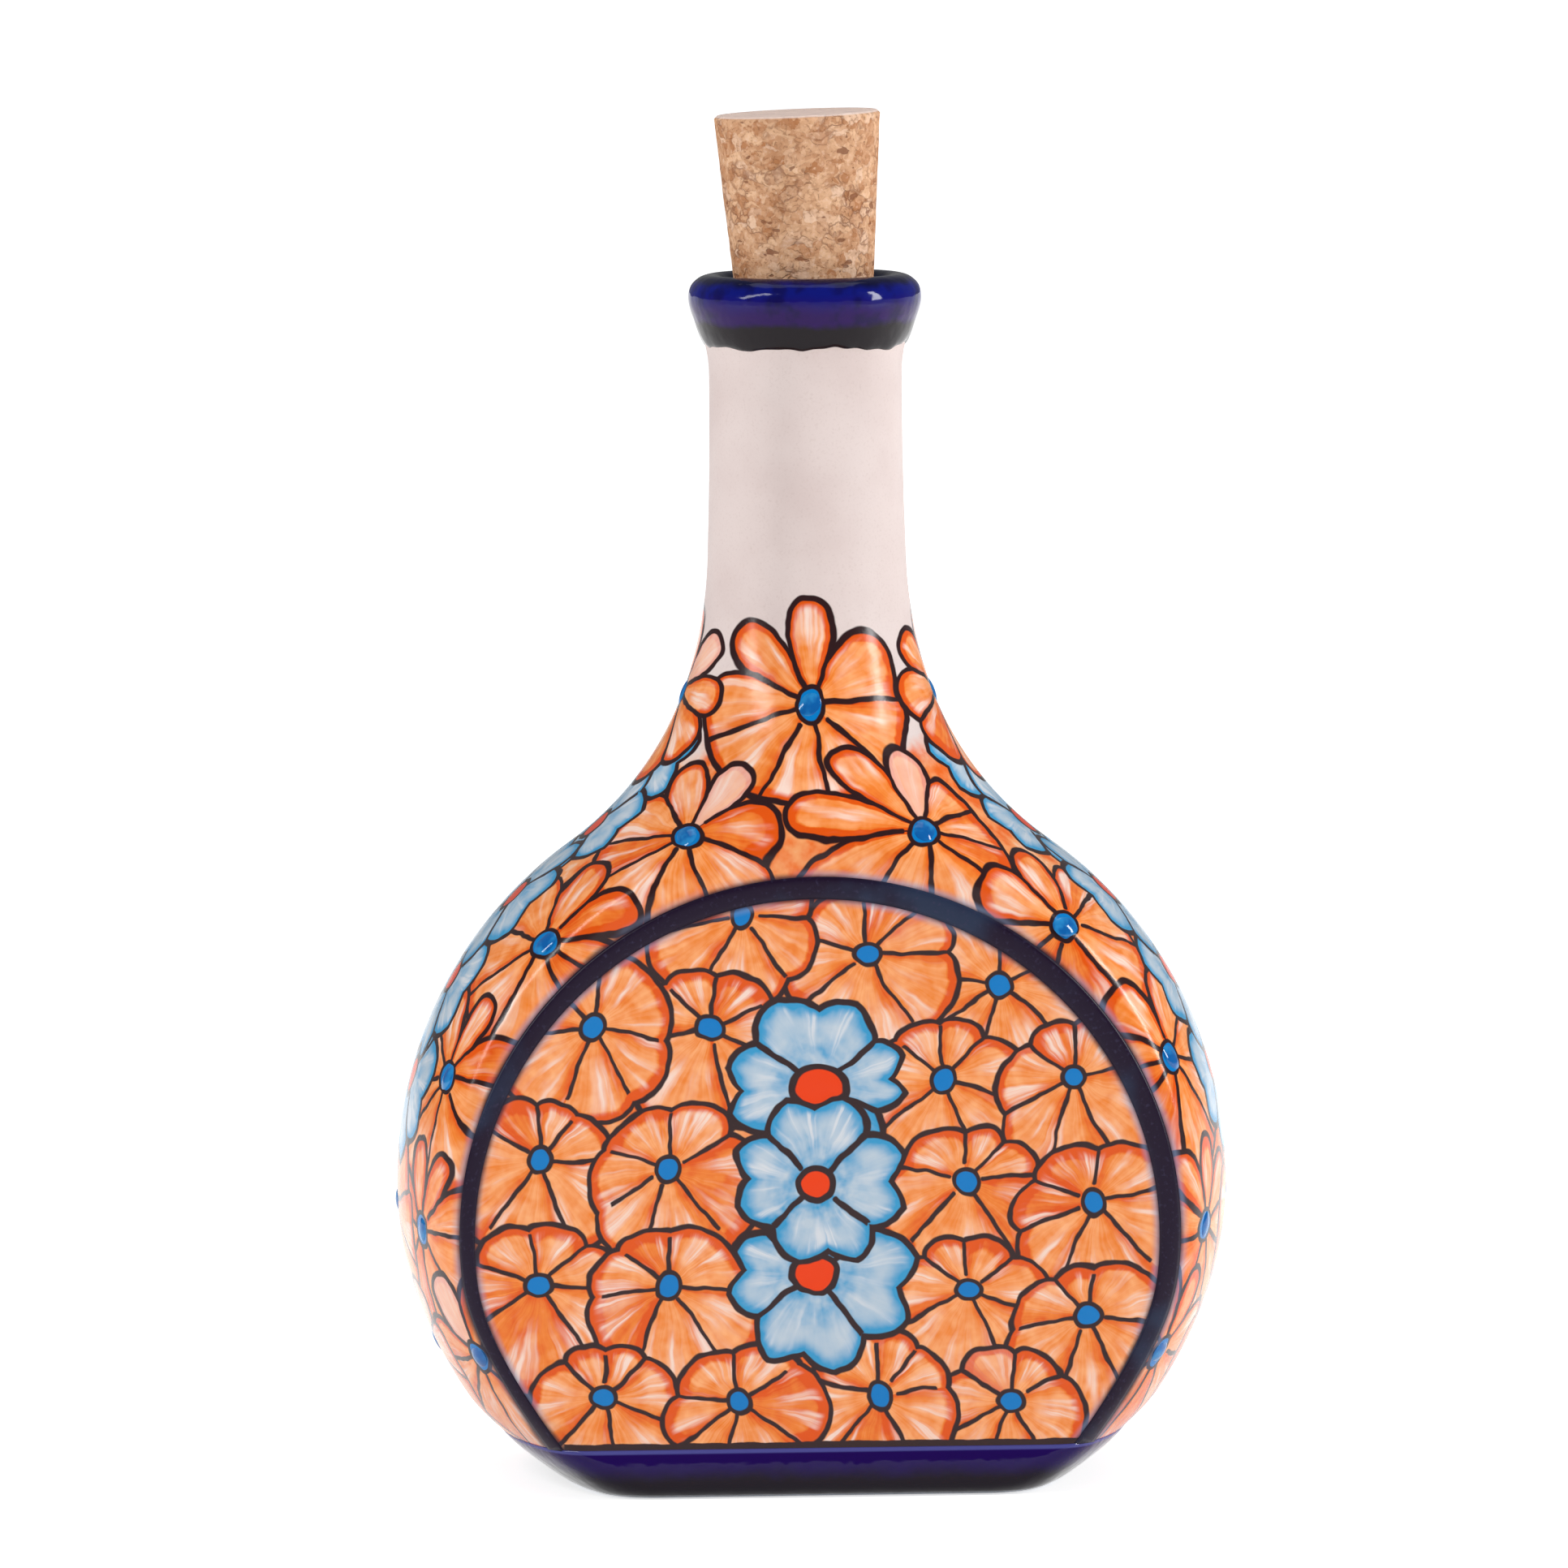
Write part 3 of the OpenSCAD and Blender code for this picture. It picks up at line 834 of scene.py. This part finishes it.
def painted_flower():
    """One flower in brush and ink: petals between spokes round a dot"""
    tree = bpy.data.node_groups.new("painted flower", "ShaderNodeTree")
    for title in FLOWER_VALUES:
        tree.interface.new_socket(title, in_out="INPUT", socket_type="NodeSocketVector")
    tree.interface.new_socket("Colour", in_out="OUTPUT", socket_type="NodeSocketColor")
    tree.interface.new_socket("Cover", in_out="OUTPUT", socket_type="NodeSocketFloat")
    entry = tree.nodes.new("NodeGroupInput")
    leave = tree.nodes.new("NodeGroupOutput")
    (u, v, radius), (petals, notch, seed), (blue, size, lift), (bias_side, bias_up, spread) = [
        parts(Wire(entry.outputs[title])) for title in FLOWER_VALUES]

    # The hand's wander
    wander = parts(cloud(gather(u * 0.17, v * 0.17, seed * 7.3), 1.0)[1])
    u = u + (wander[0] - 0.5) * 1.8
    v = v + (wander[1] - 0.5) * 1.8
    heavy = wander[2] * 0.5 + 0.75
    from_middle = (u * u + v * v).root().most(0.01)
    side, up = u / from_middle, v / from_middle
    swing = cloud(gather(side * 0.9, up * 0.9, seed * 3.1 + 20), 1.0)[0]
    turn = (v * spread).bearing(u)
    once, twice = turn + seed * 2.3, turn * 2 + seed * 5.1
    uneven = 1 - blue * 0.5 - notch * 1.1
    at_top = (seed * 2.3).cosine() * ONCE - (seed * 5.1).sine() * TWICE
    count = turn * petals / (2 * math.pi) + (once.sine() * ONCE + twice.sine() * TWICE - at_top) * uneven
    per_turn = petals / (2 * math.pi) + (once.cosine() * ONCE + twice.cosine() * 2 * TWICE) * uneven
    petal = (count + 0.5).floor()
    across = abs(count - petal)
    to_spoke = across * 2
    petal_luck = chance(petal.wrap(petals) + seed * 31)
    spoke_number = count.floor().wrap(petals) + seed * 47
    spoke_luck = chance(spoke_number)
    stroke_luck = chance(spoke_number + 0.5)

    # Petal edges
    upper = up.rise(0.0, JOIN_SLANT)
    cut = notch * (1 - lift * (1 - upper)) * (1 + (spoke_luck - 0.5) * (0.9 - blue * 0.7))
    reach = radius * (1 + bias_side * side + bias_up * up) * (0.91 + swing * 0.18)
    tip_dip = blue * TIP_DIP * (1 - to_spoke * 2.4).most(0.0)
    edge = reach * (1 - cut * to_spoke ** EDGE_CURVE - tip_dip)
    slope = reach * cut * EDGE_CURVE * to_spoke ** (EDGE_CURVE - 1) * petals / math.pi / from_middle.most(3.0)
    within = (edge - from_middle) / (slope * slope + 1).root()
    line = (0.75 + notch * 0.6 + blue * 0.15) * heavy
    outline = within.fall(line / 2 - SOFT_LINE, line / 2 + SOFT_LINE)

    # Spokes with round ends, and the ringed dot
    off_spoke = (0.5 - across) / per_turn * from_middle
    centre = (1.27 + notch * 1.9 + blue * 0.75) * size * (1 + (wander[1] - 0.5) * 0.5)
    ring = centre + 0.68 + notch * 0.08 + blue * 0.27
    start = ring - 0.3 + (stroke_luck - 0.7).most(0.0) * 4
    end = edge * (0.7 + notch * 0.6 + spoke_luck * 0.36)
    past = (from_middle - end).most(start - from_middle).most(0.0)
    stroke = (0.61 + notch * 0.5 + blue * 0.21) * heavy
    spoke = (off_spoke * off_spoke + past * past).root().fall(stroke / 2 - SOFT_STROKE, stroke / 2 + SOFT_STROKE)
    oval = 1 - (size - 1).most(0.0) * 0.8 + (chance(seed * 13) - 0.5) * (1 - blue) * 0.3
    flat_u, flat_v = u * oval, v * (2 - oval)
    from_dot = (flat_u * flat_u + flat_v * flat_v).root()
    ringed = from_dot.fall(ring - SOFT_STROKE, ring + SOFT_STROKE)
    filled = from_dot.fall(centre - SOFT_STROKE, centre + SOFT_STROKE)

    # Brushed petals
    brush = cloud(gather(u * 0.4, v * 0.4, seed), 1.0)[0]
    fine = cloud(gather(side * 15, up * 15, from_middle * 0.04 + seed * 4), 1.0)[0]
    fan = cloud(gather(side * 4.4, up * 4.4, from_middle * 0.07 + seed * 9), 1.0)[0]
    band = 0.6 + petal_luck * 1.3 + brush * 0.9 + blue * (0.5 + fan * 2.2)
    deep = (within - line / 2).fall(band * (0.45 - blue * 0.6), band) * (0.6 + brush * 0.6)
    deep = deep + off_spoke.fall(0.2, 3.0) * (count - petal).rise(0.0, 0.4) * (1 - blue) * 0.55
    deep = deep + ((brush - 0.5) * 1.0 + (fine - 0.5) * 0.7 + 0.27 + notch * 0.12) * (1 - blue * 0.75)
    deep = deep + petal_luck.over(0.82) * (1 - blue) * 0.35
    deep = deep + blue * from_middle.fall(radius * 0.25, radius * 0.75) * (brush * 1.7 - 0.5)
    pale = fan.rise(0.46, 0.66) * (fine.rise(0.38, 0.62) * 0.7 + 0.3)
    pale = pale * from_middle.rise(reach * 0.25, reach * 0.6) * within.rise(0.7, 2.0)
    orange = blended(deep * 2, "#FDB077", "#F08435")
    orange = blended(deep * 2 - 1, orange, "#E2550E")
    orange = blended(pale * 0.9, orange, "#FBE3D6")
    # Some upper petals are painted pale: partly a pale wash, partly a painted highlight where light catches them
    pale_petal_and_glare = petal_luck.under(0.1) * notch * upper * (0.2 + fine * 1.6 + fan * 0.6)
    orange = blended(pale_petal_and_glare, orange, "#F6D5C8")
    sky_blue = blended(deep * 1.25, "#BCCCD9", "#3899CB")
    sky_blue = blended(pale * 0.8, sky_blue, "#E2E3E6")
    fill = blended(blue, orange, sky_blue)
    fill = blended(outline.most(spoke), fill, INK)
    fill = blended(ringed, fill, INK)
    heart = blended(blue, "#0079C2", "#EC3E00")
    fill = blended(filled, fill, heart)
    feed(fill, leave.inputs["Colour"])
    feed(within.rise(line / -2 - SOFT_LINE, line / -2 + SOFT_LINE), leave.inputs["Cover"])
    return tree


flower_group = painted_flower()


def new_finish(name, shine, roughness=0.5):
    """A new material with its shader and the place on the object"""
    material = bpy.data.materials.new(name)
    material.use_nodes = True
    shader = material.node_tree.nodes["Principled BSDF"]
    shader.inputs["Specular IOR Level"].default_value = shine
    shader.inputs["Roughness"].default_value = roughness
    return material, shader, Wire(add_node(material.node_tree, "TexCoord", {}).outputs["Object"])


def bumpy(shader, height, strength, depth):
    """Raises and lowers the finish by a height, over a depth in millimetres"""
    fed = {"Strength": strength, "Distance": depth * MM, "Height": height}
    feed(Wire(add_node(height.tree, "Bump", fed).outputs["Normal"]), shader.inputs["Normal"])


def written(tree, name):
    """A vector written on the mesh"""
    return Wire(add_node(tree, "Attribute", {}, attribute_name=name).outputs["Vector"])


# A share too small to show
NEXT_TO_NOTHING = (1e-9,) * 3


def after(earlier, vector):
    """The same vector, worked out only after an earlier value, because the renderer has room for few at one time"""
    return scaled(earlier, NEXT_TO_NOTHING, vector)


def painted_ceramic():
    """Cream glaze with an orange wash below the neck, and the flowers over both"""
    material, shader, where = new_finish("painted_ceramic", 0.2)
    x, y, z = [part / MM for part in parts(where)]
    speck = cloud(where, 2600.0, 3.0)[0]
    mottle = cloud(where, 70.0, 3.0)[0]
    cream = blended(mottle.rise(0.3, 0.75), "#E2D3CF", "#D9C8C4")
    cream = blended(speck.rise(0.5, 0.85) * 0.35, cream, "#C4AFA9")
    sweep = cloud(gather(x * 0.25, y * 0.25, z * 0.25), 1.0, 3.0)[0]
    wash = blended(sweep.rise(0.35, 0.62), "#EC6A22", "#F4A268")
    wash = blended(sweep.rise(0.6, 0.72), wash, "#F4C4A4")
    painted = (z + sweep * 8).fall(114.0, 120.0)
    paint = blended(painted, cream, wash)
    cover = painted
    for layer in reversed(range(LAYERS)):
        fed = {title: written(where.tree, f"flower_{title.lower()}_{layer}") for title in FLOWER_VALUES}
        fed["Place"] = after(cover, fed["Place"])
        node = add_node(where.tree, "Group", fed, node_tree=flower_group)
        colour, cover = [Wire(out) for out in node.outputs]
        paint = blended(cover, paint, colour)
        painted = painted.most(cover)

    # Haze that the brush left beside the stripe
    facing = abs(y).rise(FACE_FROM, FACE_FROM + 1)
    arch_x = x / (1 - z.fall(END_TO, END_FROM) * END_PINCH)
    from_centre = (arch_x * arch_x + (z - ARCH_Z) * (z - ARCH_Z)).root()
    width = STRIPE_W + ((z - ARCH_Z) * STRIPE_RISE - arch_x * y / abs(y) * STRIPE_SWELL) / from_centre
    beside = (from_centre - ARCH_R).most(ARCH_R - width - from_centre) + (mottle - 0.5) * 1.6
    haze = facing * beside.fall(0.3, 1.5) * mottle.rise(0.35, 0.6) * 0.6
    paint = blended(haze, paint, "#7D8FB4")
    paint = blended(facing * beside.fall(-0.2, 0.75) * 0.9, paint, NAVY)

    # Ink line over the foot band, a pale blue-white at the very foot, and the mouth nearly black: painted shade in the
    # gap round the cork
    on_face = abs(arch_x).fall(41.5, 42.0) * abs(y).over(FACE_FROM - 1)
    paint = blended(on_face * (z - sweep * 0.7).fall(8.3, 8.5), paint, INK)
    paint = blended(z.fall(1.2, 1.6), paint, "#C9D3E6")
    # Painted shade: nearly black in the mouth, round the cork
    paint = blended(z.rise(175.0, 177.0), paint, "#0B0A22")
    feed(paint, shader.inputs["Base Color"])
    feed(0.5 - painted * 0.31 + (speck - 0.5) * 0.12, shader.inputs["Roughness"])
    ripple = cloud(where, 130.0, 2.0)[0]
    bumpy(shader, mottle * 0.3 + ripple * 0.12 + speck * 0.012, 1.0, 1.0)
    return material


def cobalt_glaze():
    """Thick cobalt: blue where it is full, purple where it thins and nearly black where it was banded with ink"""
    material, shader, where = new_finish("cobalt_glaze", 0.15)
    z = parts(where)[2] / MM
    drift = cloud(where, 160.0, 3.0)[0] - 0.5
    pool = cloud(where, 300.0, 2.0)[0]
    level = z + drift * 2.6
    lip = blended(level.rise(179.4, 183.2), "#2A0656", "#0B1470")
    lip = blended(pool.rise(0.45, 0.65) * 0.6, lip, "#0A0638")
    lip = blended(level.rise(183.6, 184.8), lip, "#060932")
    lip = blended(level.fall(177.6, 178.8), lip, "#1A1318")
    # The foot band is painted darker towards its bottom as painted shade, and lighter higher up as a painted highlight
    foot = blended(level.rise(2.6, 5.6), "#120718", "#1E0652")
    # A thin painted highlight along the band's top edge
    foot = blended(z.rise(7.0, 7.3) * z.fall(7.6, 7.9) * 0.6, foot, "#5C5FA6")
    feed(blended(z.rise(50.0, 51.0), foot, lip), shader.inputs["Base Color"])
    feed(cloud(where, 900.0, 2.0)[0] * 0.1 + 0.05, shader.inputs["Roughness"])
    bumpy(shader, cloud(where, 420.0, 1.0)[0], 0.25, 0.4)
    return material


def cobalt_stripe():
    """A brushed stripe of dark cobalt with paler strokes"""
    material, shader, where = new_finish("cobalt_stripe", 0.15, 0.32)
    stroke = cloud(where, 55.0, 3.0)[0]
    speck = cloud(where, 1500.0, 2.0)[0]
    navy = blended(stroke.rise(0.5, 0.66), "#1A0C24", "#263048")
    navy = blended(speck.rise(0.55, 0.8) * 0.5, navy, "#3A3550")
    feed(navy, shader.inputs["Base Color"])
    return material


def cork_finish():
    """Pressed cork granules, the cracks between them darkened with painted shade, and a few flecks of bark"""
    material, shader, where = new_finish("cork", 0.2, 0.85)
    bent = scaled(cloud(where, 420.0, 4.0)[1], (3.0 * MM,) * 3, where)

    def cells(scale, squash, feature="F1"):
        """Cells pressed flatter: the distance within a cell, and the node itself"""
        fed = {"Vector": scaled(bent, (1, 1, squash)), "Scale": scale}
        node = add_node(where.tree, "TexVoronoi", fed, feature=feature)
        return Wire(node.outputs["Distance"]), node

    large, small = (450.0, 1.5), (900.0, 1.4)
    gap, granules = cells(*large)
    luck = parts(Wire(granules.outputs["Color"]))
    crumbs = parts(Wire(cells(*small)[1].outputs["Color"]))
    fibre = cloud(where, 1500.0, 5.0)[0]
    patch = cloud(where, 210.0, 2.0)[0]
    tone = blended(luck[0] * 0.6 + crumbs[0] * 0.45, "#B0744A", "#E8BC97")
    tone = blended(luck[1].rise(0.75, 1.0) * 0.6, tone, "#F0CDB2")
    tone = blended(fibre.rise(0.45, 0.7) * 0.35, tone, "#BC845B")
    tone = blended(fibre.fall(0.3, 0.45) * 0.35, tone, "#F0CEB6")
    split, crumbled = [cells(*size, "DISTANCE_TO_EDGE")[0].fall(0.01, 0.12) for size in (large, small)]
    # Painted shade darkens the cracks and nicks between the granules; the bark flecks are the cork's own
    crevice_shade = split * patch.rise(0.46, 0.6) * 0.75
    nick = crumbled * fibre.rise(0.5, 0.62)
    bark = cloud(scaled(where, (1.0, 1.0, 1.9)), 300.0, 2.0)[0].rise(0.645, 0.68)
    dark = crevice_shade.most(nick * 0.5).most(bark)
    tone = blended(dark * 0.75, tone, "#7C4A31")

    # The top face is painted paler: painted light where it faces up
    x, z = [part / MM for part in parts(where)[::2]]
    along = (z - LIP_Z) * math.cos(CORK_LEAN) - x * math.sin(CORK_LEAN)
    tone = blended(along.rise(CORK_TOP - 0.35, CORK_TOP - 0.15) * 0.75, tone, "#EFDDD6")
    feed(tone, shader.inputs["Base Color"])
    bumpy(shader, fibre * 0.8 - gap * 0.4 - dark * 0.8, 0.6, 0.35)
    return material


def dot_glaze():
    """Thick blue glaze, paler where it thins"""
    material, shader, where = new_finish("dot_glaze", 0.3, 0.08)
    pool = cloud(where, 420.0, 2.0)[0]
    feed(blended(pool.rise(0.38, 0.66), "#055CA4", "#2585C4"), shader.inputs["Base Color"])
    return material


for finish, pieces in (
    (painted_ceramic(), (flask,)), (dot_glaze(), (glaze_dots,)), (cobalt_glaze(), (foot_band, rim_coat)),
    (cobalt_stripe(), (front_stripe, back_stripe)), (cork_finish(), (cork,)),
):
    for piece in pieces:
        piece.data.materials.append(finish)

# What each piece stands for
for piece, body, node, slot in (
    (flask, "flask", "flask_body", "painted_ceramic"),
    (rim_coat, "flask", "rim_glaze", "cobalt_glaze"),
    (foot_band, "flask", "foot_glaze", "cobalt_glaze"),
    (front_stripe, "flask", "front_arch_glaze", "cobalt_stripe"),
    (back_stripe, "flask", "back_arch_glaze", "cobalt_stripe"),
    (cork, "stopper", "cork_stopper", "cork"),
):
    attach(piece, body)
    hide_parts(node)
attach(glaze_dots, "flask")

WHITE = (1, 1, 1, 1)
FLOOR_SIZE = 60
# The floor's own light under the flask, and the distances over which it grows to white
NEAR_GLOW = 0.62
GLOW_FROM, GLOW_TO = 0.05, 0.16


def pale_floor():
    """Pale ground with the flask's shadow, which grows to white in the camera and in reflections"""
    material, ground, where = new_finish("pale_floor", 0, 1.0)
    feed("#F4F4F4", ground.inputs["Base Color"])
    ground.inputs["Emission Color"].default_value = WHITE
    x, y = parts(where)[:2]
    from_flask = (x * x + y * y).root()
    path = add_node(where.tree, "LightPath", {})
    camera, glossy, through = [
        Wire(path.outputs[name]) for name in ("Is Camera Ray", "Is Glossy Ray", "Is Transmission Ray")]
    glow = from_flask.rise(GLOW_FROM, GLOW_TO) * (1 - NEAR_GLOW) + NEAR_GLOW
    feed(camera.most(glossy).most(through) * glow, ground.inputs["Emission Strength"])
    return material


deselect()
bpy.ops.mesh.primitive_plane_add(size=FLOOR_SIZE, location=(0, 0, 0))
floor = named("floor")
floor.data.materials.append(pale_floor())

# Light
ROOM_LIGHT = 0.22
# The spot that the lamps are aimed at
LIT_SPOT = Vector((0, 0, 0.09))
world = bpy.data.worlds.new("studio")
bpy.context.scene.world = world
world.use_nodes = True
sky = world.node_tree.nodes["Background"]
sky.inputs["Color"].default_value = WHITE
sky.inputs["Strength"].default_value = ROOM_LIGHT


def soft_box(name, turn, climb, far, width, height, power, roll=0):
    """A lamp aimed at the flask, at a turn from the front and an angle above its middle"""
    lamp = bpy.data.lights.new(name, "AREA")
    lamp.shape = "RECTANGLE"
    lamp.size = width
    lamp.size_y = height
    lamp.energy = power
    box = bpy.data.objects.new(name, lamp)
    bpy.context.scene.collection.objects.link(box)
    turn, climb = math.radians(turn), math.radians(climb)
    away = far * Vector((math.sin(turn) * math.cos(climb), -math.cos(turn) * math.cos(climb), math.sin(climb)))
    place = Matrix.Translation(LIT_SPOT + away)
    aim = away.to_track_quat("Z", "Y").to_matrix().to_4x4()
    box.matrix_world = place @ aim @ Matrix.Rotation(math.radians(roll), 4, "Z")


soft_box("left_key", turn=-56, climb=28, far=1.1, width=0.75, height=0.16, power=7.2, roll=48)
soft_box("right_key", turn=72, climb=22, far=1.1, width=0.15, height=0.6, power=8.7)
soft_box("top_box", turn=180, climb=80, far=1.1, width=0.9, height=0.6, power=2.2)

# Camera at the photograph's place
IMAGE_PX = 1932
SENSOR_MM = 36
CAMERA_FAR = 2.0
CAMERA_HIGH = 0.3
CAMERA_TURN = math.radians(-2.6)
CAMERA_ROLL = math.radians(-0.45)
FOCAL_PX = 16074
AIM = Vector((-0.00377, 0, 0.1066))
sensor = bpy.data.cameras.new("camera")
sensor.sensor_width = SENSOR_MM
sensor.lens = FOCAL_PX * SENSOR_MM / IMAGE_PX
sensor.clip_start = 0.05
eye = bpy.data.objects.new("camera", sensor)
bpy.context.scene.collection.objects.link(eye)
spot = Vector((CAMERA_FAR * math.sin(CAMERA_TURN), -CAMERA_FAR * math.cos(CAMERA_TURN), CAMERA_HIGH))
look = (spot - AIM).to_track_quat("Z", "Y").to_matrix().to_4x4()
eye.matrix_world = Matrix.Translation(spot) @ look @ Matrix.Rotation(CAMERA_ROLL, 4, "Z")
bpy.context.scene.camera = eye
bpy.context.scene.view_settings.view_transform = "Standard"
